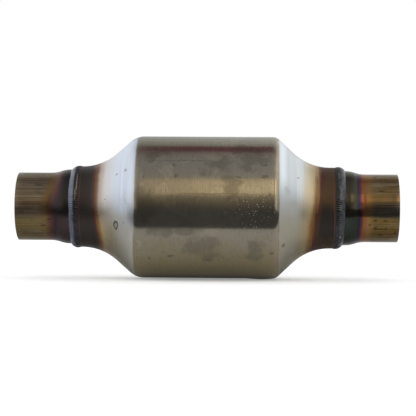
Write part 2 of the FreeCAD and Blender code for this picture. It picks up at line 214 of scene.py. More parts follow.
def leaned(bm, angle, centre=ORIGIN):
    """Turns a mesh about a line that runs deep."""
    bmesh.ops.rotate(bm, verts=bm.verts, cent=centre, matrix=Matrix.Rotation(angle, 3, "Y"))


def new_object(bm, name, material):
    mesh = bpy.data.meshes.new(name)
    bm.to_mesh(mesh)
    bm.free()
    mesh.materials.append(material)
    thing = bpy.data.objects.new(name, mesh)
    bpy.context.scene.collection.objects.link(thing)
    return thing


def piece(bm, name, material, node):
    """Makes the finished mesh an object on the converter's body, in place of its CAD node."""
    for face in bm.faces:
        face.smooth = True
    for edge in bm.edges:
        edge.smooth = edge.calc_face_angle(0) < SHARP
    thing = new_object(bm, name, material)
    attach(thing, "root")
    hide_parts(node)


# ---- Wiring of the finishes

class Wiring:
    """Puts nodes into one tree and joins them."""

    def __init__(self, tree):
        self.tree = tree
        self.tree.nodes.clear()

    def put(self, kind, inputs=None, **settings):
        node = self.tree.nodes.new("ShaderNode" + kind)
        count = len(self.tree.nodes)
        node.location = (count % 14 * 190, -(count // 14) * 300)
        for name, value in settings.items():
            setattr(node, name, value)
        for name, value in (inputs or {}).items():
            self.feed(node.inputs[name], value)
        return node

    def feed(self, socket, value):
        if isinstance(value, bpy.types.NodeSocket):
            self.tree.links.new(value, socket)
        elif socket.type == "RGBA":
            socket.default_value = (*tuple(value)[:3], 1)
        else:
            socket.default_value = value

    def worked(self, kind, values, **settings):
        """The outputs of a node whose inputs take the values in their order."""
        return self.put(kind, dict(enumerate(values)), **settings).outputs

    def sum(self, operation, *values, clamp=False):
        return self.worked("Math", values, operation=operation, use_clamp=clamp)[0]

    def times(self, first, second):
        return self.sum("MULTIPLY", first, second)

    def plus(self, first, second):
        return self.sum("ADD", first, second)

    def fold(self, value, factor, rest):
        """The value times the factor, plus the rest."""
        return self.sum("MULTIPLY_ADD", value, factor, rest)

    def sway(self, grain):
        """How far a grain lies from its middle."""
        return self.sum("SUBTRACT", grain, 0.5)

    def off(self, value, line):
        """How far a value lies from a line, to either side."""
        return self.sum("ABSOLUTE", self.sum("SUBTRACT", value, line))

    def vectors(self, operation, *values):
        result = "Value" if operation in ("LENGTH", "DISTANCE") else "Vector"
        return self.worked("VectorMath", values, operation=operation)[result]

    def span(self, value, low, high, first=0.0, last=1.0, smooth=True):
        """Goes from first to last as the value goes from low to high."""
        return self.worked("MapRange", (value, low, high, first, last),
                           interpolation_type="SMOOTHSTEP" if smooth else "LINEAR")[0]

    def blend(self, factor, first, second):
        node = self.put("Mix", {"Factor": factor, 6: first, 7: second},
                        data_type="RGBA", clamp_factor=True)
        return node.outputs[2]

    def layered(self, colour, *layers):
        """Lays paints over a colour: each is (value, low, high, strength, paint)."""
        for value, low, high, strength, paint in layers:
            colour = self.blend(self.span(value, low, high, 0.0, strength), colour, paint)
        return colour

    def ramp(self, value, stops):
        node = self.put("ValToRGB", {"Fac": value})
        elements = node.color_ramp.elements
        while len(elements) < len(stops):
            elements.new(1)
        for element, (place, colour) in zip(elements, stops):
            element.position = place
            element.color = (*colour, 1)
        return node.outputs["Color"]

    def rays(self, *kinds):
        """1 for a ray of these kinds, and 0 for any other."""
        path = self.put("LightPath").outputs
        seen = 0.0
        for kind in kinds:
            seen = self.sum("ADD", path[f"Is {kind} Ray"], seen, clamp=True)
        return seen

    def group(self, name, **inputs):
        """The outputs of a shared effect."""
        return self.put("Group", inputs, node_tree=effects()[name]).outputs

    def grain(self, point, size, shift=0.0, detail=3.0):
        """Noise as long, deep and high as the size, in millimetres."""
        return self.group("Grain", Point=point, Length=size, Shift=shift, Detail=detail)["Value"]


def effect(name, outputs, **inputs):
    """A new node group: its wires, what it is given and where its results go."""
    tree = bpy.data.node_groups.new(name, "ShaderNodeTree")
    for label, default in inputs.items():
        kind = {3: "Vector", 4: "Color"}[len(default)] if isinstance(default, tuple) else "Float"
        socket = tree.interface.new_socket(name=label, in_out="INPUT",
                                           socket_type="NodeSocket" + kind)
        socket.default_value = default
    for label, kind in outputs.items():
        tree.interface.new_socket(name=label, in_out="OUTPUT", socket_type="NodeSocket" + kind)
    wires = Wiring(tree)
    given, result = (tree.nodes.new("NodeGroup" + way) for way in ("Input", "Output"))
    result.location.x = 190
    return wires, given.outputs, result.inputs


def place_on_piece():
    """Where a point lies, in millimetres: along the axis, deep, high, and as a whole."""
    wires, _, result = effect("Place on the piece", {
        "Along": "Float", "Deep": "Float", "High": "Float", "Point": "Vector"})
    source = wires.put("TexCoord").outputs["Object"]
    point = wires.vectors("DIVIDE", source, (MM, MM, MM))
    parts = wires.put("SeparateXYZ", {0: point}).outputs
    for label, part in (("Along", parts["X"]), ("Deep", parts["Y"]), ("High", parts["Z"]),
                        ("Point", point)):
        wires.feed(result[label], part)


def grain():
    """Noise stretched by three lengths in millimetres: rings, streaks and patches all use it."""
    wires, given, result = effect(
        "Grain", {"Value": "Float", "Stir": "Vector"}, Point=(0, 0, 0), Length=(1, 1, 1),
        Shift=0.0, Detail=3.0, Roughness=0.6)
    field = wires.put("TexNoise", {
        "Vector": wires.vectors("DIVIDE", given["Point"], given["Length"]), "W": given["Shift"],
        "Scale": 1.0, "Detail": given["Detail"], "Roughness": given["Roughness"]},
        noise_dimensions="4D").outputs
    wires.feed(result["Value"], field["Fac"])
    wires.feed(result["Stir"], wires.vectors("SUBTRACT", field["Color"], (0.5, 0.5, 0.5)))


def border():
    """A wandering border across the axis: 0 before it and 1 after it."""
    wires, given, result = effect(
        "Border", {"Mask": "Float"}, Point=(0, 0, 0), Along=0.0, At=0.0, Softness=1.0,
        Wander=1.0, Shift=0.0)
    field = wires.grain(given["Point"], (14, 14, 14), given["Shift"], 2.0)
    moved = wires.fold(wires.sway(field), wires.times(given["Wander"], 4), given["Along"])
    low = wires.sum("SUBTRACT", given["At"], given["Softness"])
    high = wires.plus(given["At"], given["Softness"])
    wires.feed(result["Mask"], wires.span(moved, low, high))


def mark():
    """One small oval mark, solid or hollow, at a point on the metal."""
    wires, given, result = effect(
        "Mark", {"Mask": "Float"}, Point=(0, 0, 0), Centre=(0, 0, 0), Size=(1, 1, 1),
        Hollow=0.0, Edge=0.7)
    apart = wires.vectors("SUBTRACT", given["Point"], given["Centre"])
    away = wires.vectors("LENGTH", wires.vectors("DIVIDE", apart, given["Size"]))
    heart = wires.span(away, 0.55, 0.35)
    wires.feed(result["Mask"], wires.fold(heart, wires.times(given["Hollow"], -1),
                                          wires.span(away, 1.0, given["Edge"])))


def heat_tint():
    """The colours that heat leaves on steel, from the scale beside a weld out to straw."""
    wires, given, result = effect(
        "Heat tint", {"Colour": "Color", "Scaled": "Float"}, Metal=(0.5, 0.5, 0.5, 1),
        Distance=0.0, Point=(0, 0, 0), Reach=20.0, Wander=1.0, Shift=0.0,
        Straw=(0.4, 0.3, 0.14, 1), Bronze=(0.3, 0.13, 0.045, 1), Purple=(0.12, 0.045, 0.05, 1),
        Blue=(0.07, 0.05, 0.05, 1), Scale=(0.045, 0.037, 0.034, 1))
    broad = wires.grain(given["Point"], (30, 16, 16), given["Shift"], 2.0)
    fine = wires.grain(given["Point"], (6, 2.2, 2.2), given["Shift"])
    stir = wires.fold(wires.sway(broad), 5, wires.times(wires.sway(fine), 1.6))
    moved = wires.fold(stir, given["Wander"], given["Distance"])
    share = wires.sum("DIVIDE", moved, given["Reach"])
    colour = wires.layered(
        given["Metal"], (share, 1.05, 0.74, 1.0, given["Straw"]),
        (share, 0.8, 0.6, 1.0, given["Bronze"]), (share, 0.6, 0.5, 1.0, given["Purple"]),
        (share, 0.5, 0.43, 1.0, given["Blue"]))
    scaled = wires.span(share, 0.43, 0.34)
    wires.feed(result["Colour"], wires.blend(scaled, colour, given["Scale"]))
    wires.feed(result["Scaled"], scaled)


def effects():
    """Builds the shared effects once, the grain first, and gives them by name."""
    if "Grain" not in bpy.data.node_groups:
        for build in (grain, place_on_piece, border, mark, heat_tint):
            build()
    return bpy.data.node_groups


def new_finish(name):
    """A material, its wires and where a point lies on the piece."""
    material = bpy.data.materials.new(name)
    material.use_nodes = True
    wires = Wiring(material.node_tree)
    return material, wires, wires.group("Place on the piece")


def finished(material, wires, colour, roughness, height, bump, metallic=1.0):
    """Ends a material in one shader with a bump."""
    raised = wires.put("Bump", {"Strength": bump, "Distance": 0.0001,
                                          "Height": height})
    shader = wires.put("BsdfPrincipled", {
        "Base Color": colour, "Roughness": roughness, "Metallic": metallic,
        "Normal": raised.outputs["Normal"]})
    wires.put("OutputMaterial", {"Surface": shader.outputs["BSDF"]})
    return material


def marked(wires, colour, point, stain, strength, marks, edge=0.7, hollow=0.0):
    """Lays marks of one stain over a colour, and gives their cover too."""
    cover = 0.0
    for centre, size in marks:
        mask = wires.group("Mark", Point=point, Centre=centre, Size=size, Hollow=hollow,
                           Edge=edge)["Mask"]
        cover = wires.sum("MAXIMUM", mask, cover)
    return wires.blend(wires.times(cover, strength), colour, stain), cover


# Where things lie along the can, in millimetres from the origin.
INLET_EDGE = -51.5           # the barrel's worn colour ends, each side
OUTLET_EDGE = 53.3
GLARE = 56                   # painted highlight, a bright streak on the outlet shoulder
INLET_HEAT = 90.9            # the heat tints spread from here
OUTLET_HEAT = 92.1
PIPE_HEAT = 102.8
RIDGE = -93.6                # brown line beside the inlet weld
WELD_LINE = 93.7             # red line beside the outlet weld
RIPPLES = 118                # around a weld

# Marks on the metal: the centre and the size of each, in millimetres.
SMUDGES = (
    ((30, -33, 41.5), (15, 14, 6)), ((6.5, -45, 28.5), (14, 14, 11)), ((31, -41, 33), (14, 12, 9)),
    ((16, -50, 18), (9, 9, 8)), ((-44, -53, -1), (14, 12, 16)), ((-2.5, -46, -26), (14, 14, 15)),
    ((35.5, -42, -32), (9, 12, 12)), ((-31.5, -49, -19), (11, 9, 9)),
    ((-14, -50, -17), (13, 9, 6.5)), ((3, -38, -37), (13, 9, 8)), ((-37, -36, 39), (14, 9, 4)))
# Small scuffs, and two long thin dark lines along the barrel.
SCUFFS = (
    ((-23, -43.5, 30.5), (1.8, 1.8, 1.2)), ((-21.6, -48, 22.4), (1.6, 2.5, 2.6)),
    ((42.5, -43.5, 30.5), (4, 1.8, 1.2)), ((42.5, -48, 22.4), (3, 2.5, 1.8)),
    ((24, -48, 22), (2.5, 2, 1.4)), ((46, -52, 9.8), (1.4, 1.6, 1.3)),
    ((-44.8, -47.8, 23.2), (0.7, 2, 2.2)), ((-41, -38, -37), (1.8, 2, 1.2)),
    ((-25.6, -39.7, -35.3), (4, 3, 1.4)), ((2, -36.4, -38.7), (1.8, 2, 1.2)),
    ((48, -41.7, -33), (2, 2, 1.6)), ((-16.4, -43.7, -30.2), (1, 1.2, 1)),
    ((56.5, -40, -27.2), (2, 3, 2.4)), ((-16, -41, 33.8), (34, 0.9, 0.4)),
    ((9, -52.2, 9.8), (38, 1.2, 0.45)))
CONE_RING = (((-65.5, -40.2, -13.3), (2.4, 4, 3.6)),)
CONE_DOTS = (
    ((-65.3, -35.5, 23.4), (1.2, 1.8, 1.2)), ((-74.2, -35.3, 5.3), (0.7, 1, 0.8)),
    ((-74.9, -32.4, -14), (0.7, 1, 0.8)), ((-80.2, -32.8, -0.8), (0.9, 1.2, 1.1)),
    ((-77.9, -21.8, -25.8), (1, 1.5, 1.1)), ((-58.8, -40, 26.7), (0.6, 3, 2.4)),
    ((-59.2, -46.4, -11.4), (1.2, 1.6, 0.7)), ((67, -32, 21.8), (1.1, 1.4, 1.1)))
CONE_GREYS = (((59.4, -44.6, 10), (2.8, 8, 7)), ((-58, -46, 4), (2, 14, 9)))
OUTLET_SPOTS = (
    ((124, -23.8, -8.9), (2, 2, 1)), ((131.5, -23.7, -9.2), (2.4, 2, 1.0)),
    ((124.4, -20.7, -14.7), (1.9, 2.4, 2)), ((128, -20.3, -15.3), (3.8, 2, 0.7)),
    ((132, -20.3, -15.3), (1.5, 2, 1.4)), ((120, -22.2, -12), (1.2, 2, 1.2)),
    ((128.3, -16.3, -19.5), (2.4, 2, 1.2)), ((139, -17.7, -18.2), (1.5, 2, 1.2)),
    ((128.6, -22, 12.6), (3.4, 2, 0.7)), ((124.4, -11, 22.9), (1.8, 3, 0.8)))
INLET_SPOTS = (
    ((-116.2, -23.6, -9.3), (2.6, 2, 0.8)), ((-124.7, -20, 15.7), (5, 2, 0.7)),
    ((-121, -21, -14), (3, 2, 0.8)), ((-114, -17.5, -18.5), (2.4, 2, 0.8)))
INLET_CREAM = (((-96, -24.5, 19), (0.6, 9, 9)), ((-96.8, -28.5, 9), (0.6, 6, 5)))
OUTLET_CREAM = (((98.6, -21.5, -21.5), (0.9, 2, 1.4)), ((97.4, -19, 24.5), (0.4, 6, 5)))

PIPE_LOOKS = {
    "inlet_pipe": {
        "belt_colour": (0.28, 0.2, 0.14), "dull": 0.25, "lean": 0.22, "reach": 22.0,
        "spots": INLET_SPOTS, "below": (0.066, 0.047, 0.045), "Straw": (0.185, 0.125, 0.055),
        "Bronze": (0.115, 0.065, 0.045), "Purple": (0.09, 0.04, 0.046),
        "Blue": (0.055, 0.038, 0.042), "Scale": (0.043, 0.038, 0.036)},
    "outlet_pipe": {
        "belt_colour": (0.155, 0.135, 0.115), "dull": 0.12, "lean": 0.0, "reach": 20.5,
        "spots": OUTLET_SPOTS, "below": (0.040, 0.050, 0.038), "Straw": (0.27, 0.16, 0.06),
        "Bronze": (0.28, 0.11, 0.05), "Purple": (0.11, 0.035, 0.06),
        "Blue": (0.03, 0.034, 0.055), "Scale": (0.060, 0.055, 0.038)}}


def can_finish(colours):
    """Spun steel: satin cones, a handled barrel and heat tint on both necks, with painted reflections
    and highlights.
    """
    material, wires, at = new_finish("Spun can steel")
    along, high, point = at["Along"], at["High"], at["Point"]

    rings = wires.grain(point, (0.8, 90, 90), 0.0, 4.0)
    bands = wires.grain(point, (4, 120, 120), 3.0)
    strokes = wires.grain(point, (0.35, 9, 9), 5.0)
    cloud = wires.grain(point, (13, 10, 10), 7.0, 2.0)
    speck = wires.grain(point, (0.8, 0.8, 0.8), 11.0)
    scratch = wires.grain(point, (0.4, 5, 5), 13.0, 1.0)
    swirl = wires.group("Grain", Point=point, Length=(15, 13, 13), Shift=9.0, Detail=2.0)["Stir"]
    frayed = wires.group("Grain", Point=point, Length=(3, 3, 3), Shift=1.0)
    stirred = wires.vectors("MULTIPLY_ADD", swirl, (34, 26, 34), point)
    stirred = wires.vectors("MULTIPLY_ADD", frayed["Stir"], (5, 5, 5), stirred)
    rubbed = wires.vectors("MULTIPLY_ADD", frayed["Stir"], (6, 3, 4), point)
    low = wires.fold(wires.sway(cloud), 30, high)

    shifted = wires.plus(along, wires.span(high, -8, -38, 0.0, 1.8))
    past_inlet = wires.group(
        "Border", Point=point, Along=shifted, At=INLET_EDGE, Softness=0.7, Wander=0.35)["Mask"]
    past_outlet = wires.group("Border", Point=point, Along=along, At=OUTLET_EDGE,
                              Softness=0.5, Wander=0.3, Shift=5.0)["Mask"]
    on_barrel = wires.sum("SUBTRACT", past_inlet, past_outlet, clamp=True)

    cone = wires.blend(past_inlet, colours.bright_steel, (0.66, 0.7, 0.71))
    # Low on the cones the sheen is a painted reflection, warmer and darker towards the bottom.
    cone = wires.layered(
        cone, (rings, 0.35, 0.7, 0.55, (0.52, 0.55, 0.6)),
        (bands, 0.5, 0.75, 0.5, (0.74, 0.76, 0.78)), (low, 14, -30, 0.85, colours.sheen))
    # Painted reflection: the outlet cone and neck turn darker and warmer below the middle.
    outer = wires.times(wires.span(high, 8, -14, 0.0, 0.6), past_outlet)
    cone = wires.blend(outer, cone, (0.46, 0.42, 0.31))
    # Painted highlight: a bright streak on the outlet cone beside its shoulder.
    glare = wires.times(wires.span(wires.off(along, GLARE), 4, 0.5),
                        wires.span(high, 4, 26, 0.0, 0.8))
    cone = wires.blend(glare, cone, (0.8, 0.88, 0.93))
    cone, _ = marked(wires, cone, stirred, (0.4, 0.42, 0.43), 0.4, CONE_GREYS, 0.2)
    # The tan fringes by the necks are the metal's own tint; their darker, olive lower halves are
    # painted reflection.
    lower = wires.span(high, 12, -22)
    inlet_fringe = wires.fold(wires.sway(rings), 16, wires.fold(lower, -8, along))
    outlet_fringe = wires.fold(wires.sway(rings), 9, wires.fold(high, -0.11, along))
    inlet_tan = wires.blend(lower, (0.62, 0.56, 0.51), (0.35, 0.3, 0.185))
    outlet_tan = wires.blend(lower, (0.6, 0.52, 0.38), (0.42, 0.37, 0.24))
    cone = wires.layered(cone, (inlet_fringe, -64, -79, 0.9, inlet_tan),
                         (outlet_fringe, 66, 71.5, 0.85, outlet_tan))
    cone, _ = marked(wires, cone, rubbed, (0.08, 0.065, 0.055), 0.9, CONE_RING, hollow=0.7)
    cone, _ = marked(wires, cone, rubbed, (0.12, 0.1, 0.09), 0.6, CONE_DOTS, 0.3)

    bent = wires.vectors("MULTIPLY_ADD", swirl, (22, 22, 22), point)
    stains = wires.put("TexVoronoi", {"Vector": bent, "Scale": 0.055,
                                                "Smoothness": 0.12}, feature="SMOOTH_F1")
    shade = wires.put("SeparateColor", {0: stains.outputs["Color"]}).outputs
    barrel = wires.layered(
        colours.worn_steel, (strokes, 0.35, 0.7, 0.45, (0.37, 0.34, 0.275)),
        (rings, 0.45, 0.7, 0.25, (0.24, 0.21, 0.165)),
        (shade[0], 0.4, 0.8, 0.4, (0.25, 0.23, 0.19)),
        (shade[1], 0.5, 0.85, 0.5, (0.37, 0.335, 0.26)))
    grime = wires.times(wires.span(speck, 0.55, 0.75, 0.0, 0.5), wires.span(cloud, 0.4, 0.6))
    barrel = wires.blend(grime, barrel, (0.17, 0.15, 0.12))
    # Painted reflection: the barrel turns olive and darker towards the bottom.
    barrel = wires.layered(barrel, (low, -16, -44, 0.85, (0.29, 0.245, 0.135)))
    barrel, smudged = marked(wires, barrel, stirred, (0.165, 0.15, 0.115), 0.6, SMUDGES, 0.4)
    barrel = wires.layered(barrel, (scratch, 0.61, 0.68, 0.5, (0.13, 0.105, 0.07)))
    # The worn outlet edge of the barrel is lighter; its brighter upper part is a painted highlight.
    edge = wires.times(wires.span(along, 47.5, 50.5), wires.span(high, -4, 8, 0.1, 0.25))
    barrel = wires.blend(edge, barrel, (0.58, 0.47, 0.3))
    colour = wires.blend(on_barrel, cone, barrel)
    colour, _ = marked(wires, colour, rubbed, (0.12, 0.105, 0.08), 0.6, SCUFFS, 0.45)

    # Tints by height: lighter above and more saturated below, a painted reflection over the real heat
    # tint.
    def by_height(top, bottom, above, below):
        return wires.blend(wires.span(high, top, bottom), above, below)

    lined = wires.fold(wires.sway(bands), 6, wires.times(wires.sway(rings), 5))
    droop = wires.span(high, 0, -30, 0.0, -3.0)
    from_inlet = wires.fold(lined, 0.4, wires.plus(wires.plus(along, INLET_HEAT), droop))
    from_outlet = wires.fold(high, 0.11, wires.sum("SUBTRACT", OUTLET_HEAT, along))
    from_outlet = wires.fold(lined, 0.8, from_outlet)
    streaky = wires.span(bands, 0.45, 0.6)
    inlet_tint = wires.group(
        "Heat tint", Metal=colour, Distance=from_inlet, Point=point, Reach=16.3, Wander=0.6,
        Straw=by_height(2, -16, (0.45, 0.37, 0.31), colours.straw),
        Bronze=by_height(2, -16, (0.17, 0.1, 0.065), colours.bronze), Purple=colours.purple,
        Scale=wires.blend(streaky, colours.scale, (0.052, 0.033, 0.034)))
    # Painted reflection: the outlet scale is darkest in a band below the middle and browner above and
    # below it.
    middle = wires.span(wires.off(low, -12), 21, 7)
    outlet_tint = wires.group(
        "Heat tint", Metal=inlet_tint["Colour"], Distance=from_outlet, Point=point, Reach=20.5,
        Wander=0.7, Shift=4.0, Straw=by_height(6, -20, (0.58, 0.48, 0.3), colours.straw),
        Bronze=by_height(12, -8, (0.25, 0.15, 0.07), colours.bronze), Purple=colours.purple,
        Blue=(0.1, 0.055, 0.04),
        Scale=wires.blend(middle, (0.115, 0.072, 0.044), colours.scale))
    scaled = wires.sum("ADD", inlet_tint["Scaled"], outlet_tint["Scaled"], clamp=True)
    colour = outlet_tint["Colour"]
    red_cover = wires.span(high, 16, 2, 0.25, 0.9)
    for line, paint, cover in ((WELD_LINE, (0.17, 0.085, 0.07), red_cover),
                               (WELD_LINE + 0.8, (0.06, 0.05, 0.045), 1.0)):
        edge = wires.group("Border", Point=point, Along=along, At=line, Softness=0.35,
                           Wander=0.45, Shift=0.2)["Mask"]
        colour = wires.blend(wires.times(edge, cover), colour, paint)
    colour = wires.layered(colour, (wires.off(along, RIDGE), 0.7, 0.3, 0.6, (0.11, 0.075, 0.052)))

    flecks = wires.put("TexVoronoi", {"Vector": point, "Scale": 0.55})
    fleck = flecks.outputs["Distance"]
    pit = wires.times(wires.span(fleck, 0.22, 0.05), wires.span(cloud, 0.42, 0.55, 0.25, 1.0))
    pit = wires.times(pit, on_barrel)
    # Painted glints: bright specks in one patch on the front of the barrel.
    glint_patch = wires.span(wires.vectors("DISTANCE", stirred, (34, -52, 2)), 26, 5)
    glint_patch = wires.times(glint_patch, wires.span(frayed["Value"], 0.34, 0.5))
    glint = wires.times(wires.span(fleck, 0.25, 0.12), glint_patch)
    colour = wires.blend(wires.times(glint, 0.8), colour, (0.7, 0.65, 0.53))

    rough = wires.span(on_barrel, 0.0, 1.0, 0.34, 0.15)
    for cause, more in ((wires.sway(speck), 0.1), (smudged, 0.05), (scaled, 0.1),
                        (wires.span(from_outlet, 22, 14), 0.16), (glint, 0.2)):
        rough = wires.fold(cause, more, rough)
    height = wires.fold(speck, 0.12, wires.times(rings, 0.5))
    height = wires.fold(strokes, 0.35, height)
    height = wires.fold(wires.plus(pit, glint), -1.1, height)
    return finished(material, wires, colour, rough, height, 0.35)


def pipe_finish(name, steel, side, belt_colour, dull, lean, reach, below, spots, **tints):
    """Drawn tube: streaks along it, and heat tint out from the weld, with painted reflections by
    height.
    """
    material, wires, at = new_finish(name)
    along, high, point = at["Along"], at["High"], at["Point"]
    streaks = wires.grain(point, (70, 0.8, 0.8), side, 4.0)
    broad = wires.grain(point, (45, 5, 5), side + 2)
    blotch = wires.grain(point, (7, 5, 5), side + 5)
    # Painted reflection: the pipe is golden below the middle and darker at the bottom, with a dark
    # band along it just below the middle.
    golden = (steel[0] * 1.02, steel[1] * 0.97, steel[2] * 0.66)
    colour = wires.layered(
        steel, (high, -4, -11, 1.0, golden), (high, -14, -22, 0.3, (0.06, 0.04, 0.025)),
        (wires.off(high, -1.5), 7.5, 3.5, 0.85, belt_colour),
        (streaks, 0.65, 0.35, 0.5, (0, 0, 0)), (broad, 0.5, 0.68, 0.25, (0.5, 0.42, 0.28)),
        (blotch, 0.52, 0.66, 0.2, (0.02, 0.01, 0.005)))
    away = wires.fold(along, side, -PIPE_HEAT)
    away = wires.fold(wires.sum("MAXIMUM", high, 0), lean, away)
    # Painted reflection: low on the pipe the scale beside the weld takes the below colour.
    tints["Scale"] = wires.blend(wires.span(high, -3, -11), tints["Scale"], below)
    tinted = wires.group("Heat tint", Metal=colour, Distance=away, Point=point, Reach=reach,
                         Wander=0.9, Shift=side, **tints)
    colour, spotted = marked(wires, tinted["Colour"], point, (0.045, 0.033, 0.022), 0.75,
                             spots, 0.35)
    rough = wires.fold(spotted, 0.04, wires.span(streaks, 0.2, 0.8, dull, dull + 0.09))
    return finished(material, wires, colour, rough, wires.fold(blotch, 0.6, streaks), 0.22)


def weld_finish(name, flank_highlight, side, highlit, least_highlight, cream):
    """Weld metal: dark scale, with a painted highlight on the flank towards the pipe, tinted by the
    blue-grey oxide.
    """
    material, wires, at = new_finish(name)
    point = at["Point"]
    lumps = wires.grain(point, (2.2, 3, 3), side)
    pits = wires.grain(point, (0.6, 0.6, 0.6), 2.0)
    flank = wires.group("Border", Point=point, Along=wires.times(at["Along"], side), At=highlit,
                        Softness=0.6, Wander=0.5, Shift=side)["Mask"]
    colour = wires.layered((0.045, 0.045, 0.052), (lumps, 0.4, 0.7, 0.5, (0.1, 0.1, 0.11)))
    # Painted highlight on the flank, broken up by the lumps.
    patchy = wires.times(flank, wires.span(lumps, 0.35, 0.55, least_highlight, 1.0))
    colour = wires.blend(patchy, colour, flank_highlight)
    grit = wires.times(wires.span(pits, 0.48, 0.62, 0.0, 0.55), wires.span(lumps, 0.45, 0.6))
    colour = wires.blend(grit, colour, (0.05, 0.042, 0.036))
    colour, _ = marked(wires, colour, point, (0.3, 0.27, 0.21), 0.7, cream)
    rough = wires.span(pits, 0.3, 0.7, 0.2, 0.32)
    return finished(material, wires, colour, rough, wires.fold(pits, 0.35, lumps), 0.4)


def ceramic_finish(colours):
    """Coated ceramic: matt, chalky, a little darker in patches."""
    material, wires, at = new_finish("Ceramic")
    dust = wires.grain(at["Point"], (0.35, 0.35, 0.35))
    patch = wires.grain(at["Point"], (9, 9, 9), 2.0)
    colour = wires.blend(wires.span(dust, 0.3, 0.7), (0.62, 0.53, 0.4), colours.ceramic)
    colour = wires.layered(colour, (patch, 0.5, 0.65, 0.3, (0.4, 0.34, 0.26)))
    return finished(material, wires, colour, wires.span(dust, 0.3, 0.7, 0.78, 0.95), dust, 0.4, 0.0)


def fibre_finish(colours):
    """Support mat: pressed fibre with glints of mica."""
    material, wires, at = new_finish("Mat fibre")
    strands = wires.grain(at["Point"], (2.5, 0.3, 2.0), 0.0, 5.0)
    flakes = wires.put("TexVoronoi", {"Vector": at["Point"], "Scale": 0.8})
    flake = wires.span(flakes.outputs["Distance"], 0.34, 0.22)
    colour = wires.blend(wires.span(strands, 0.3, 0.7), (0.42, 0.38, 0.31), colours.fibre)
    colour = wires.blend(wires.times(flake, 0.7), colour, (0.38, 0.27, 0.12))
    return finished(material, wires, colour, wires.span(flake, 0.0, 1.0, 0.95, 0.5), strands, 0.7, 0.0)


# ---- The pieces

class CONVERTER_OT_can(bpy.types.Operator):
    """Spins the can: barrel, two cones, two trumpets and two necks, with its inner skin"""
    bl_idname = "converter.can"
    bl_label = "Can"

    def execute(self, context):
        sizes = context.scene.converter_sizes
        wall, bore, lip = sizes.can_wall, sizes.neck_bore, CAN_LIP
        neck = bore + sizes.neck_wall
        ends = [(sizes.inlet_shoulder, sizes.inlet_slope, -CAN_LOW.x - sizes.inlet_barrel),
                (sizes.outlet_shoulder, sizes.outlet_slope, CAN_HIGH.x - sizes.outlet_barrel)]
        bm = bmesh.new()
        walk = Outline(bm, CAN_LOW.x + lip, neck)

        def cone(end, outer, inwards):
            """Neck, trumpet, cone and shoulder of one end, or the same backwards."""
            shoulder, angle, reach = ends[end]
            half = math.tan(angle / 2)
            drop = sizes.can_radius - neck if outer else sizes.can_radius - wall - bore
            shoulder = shoulder if outer else shoulder - wall
            trumpet = sizes.trumpet if outer else sizes.trumpet + sizes.neck_wall
            slant = drop / math.sin(angle) - (shoulder + trumpet) * half
            level = reach - drop / math.tan(angle) - (shoulder + trumpet) * half
            turn = angle if outer else -angle
            steps = [lambda: walk.run(level - lip),
                     lambda: walk.bend(trumpet, turn, TRUMPET_STEPS),
                     lambda: walk.run(slant, 4),
                     lambda: walk.bend(shoulder, -turn, SHOULDER_STEPS)]
            for step in steps if inwards else steps[::-1]:
                step()

        barrel = sizes.inlet_barrel + sizes.outlet_barrel
        cone(0, outer=True, inwards=True)
        walk.run(barrel, 32)
        cone(1, outer=True, inwards=False)
        walk.cut_end(sizes.neck_wall, lip)
        cone(1, outer=False, inwards=True)
        walk.run(barrel, 8)
        cone(0, outer=False, inwards=False)
        walk.cut_end(sizes.neck_wall, lip, last_steps=2)
        walk.turned(1, sizes.spin_steps)
        pressed(bm, (0.041, 0, -0.053), (0.013, 0.05, 0.05), (0, 0, -BULGE))
        piece(bm, "spun_can", can_finish(context.scene.converter_colours),
              "can")
        return {"FINISHED"}


class CONVERTER_OT_pipes(bpy.types.Operator):
    """Turns both pipes: a wide end in the neck, a gentle flare and a plain end"""
    bl_idname = "converter.pipes"
    bl_label = "Pipes"

    def execute(self, context):
        sizes, colours = context.scene.converter_sizes, context.scene.converter_colours
        wall = sizes.pipe_wall
        swing = 2 * math.atan2(sizes.flare_rise, sizes.flare_length)
        radius = sizes.flare_length / 2 / math.sin(swing)
        for name, side, low, high, steel in (
                ("inlet_pipe", -1, -INLET_HIGH.x, -INLET_LOW.x, colours.inlet_steel),
                ("outlet_pipe", 1, OUTLET_LOW.x, OUTLET_HIGH.x, colours.outlet_steel)):
            sleeve = high - low - sizes.pipe_plain - sizes.flare_length
            bm = bmesh.new()
            walk = Outline(bm, low, sizes.pipe_radius + sizes.flare_rise)
            walk.run(sleeve, 3)
            walk.bend(radius, -swing, FLARE_STEPS)
            walk.bend(radius, swing, FLARE_STEPS)
            walk.run(sizes.pipe_plain - PIPE_LIP, 4)
            walk.cut_end(wall, PIPE_LIP)
            walk.run(sizes.pipe_plain - PIPE_LIP, 4)
            walk.bend(radius + wall, -swing, FLARE_STEPS)
            walk.bend(radius - wall, swing, FLARE_STEPS)
            walk.run(sleeve, 3)
            walk.turned(side, sizes.spin_steps)
            finish = pipe_finish(f"Heated {name[:-5]} tube", steel, side, **PIPE_LOOKS[name])
            piece(bm, "drawn_" + name, finish, name)
        return {"FINISHED"}


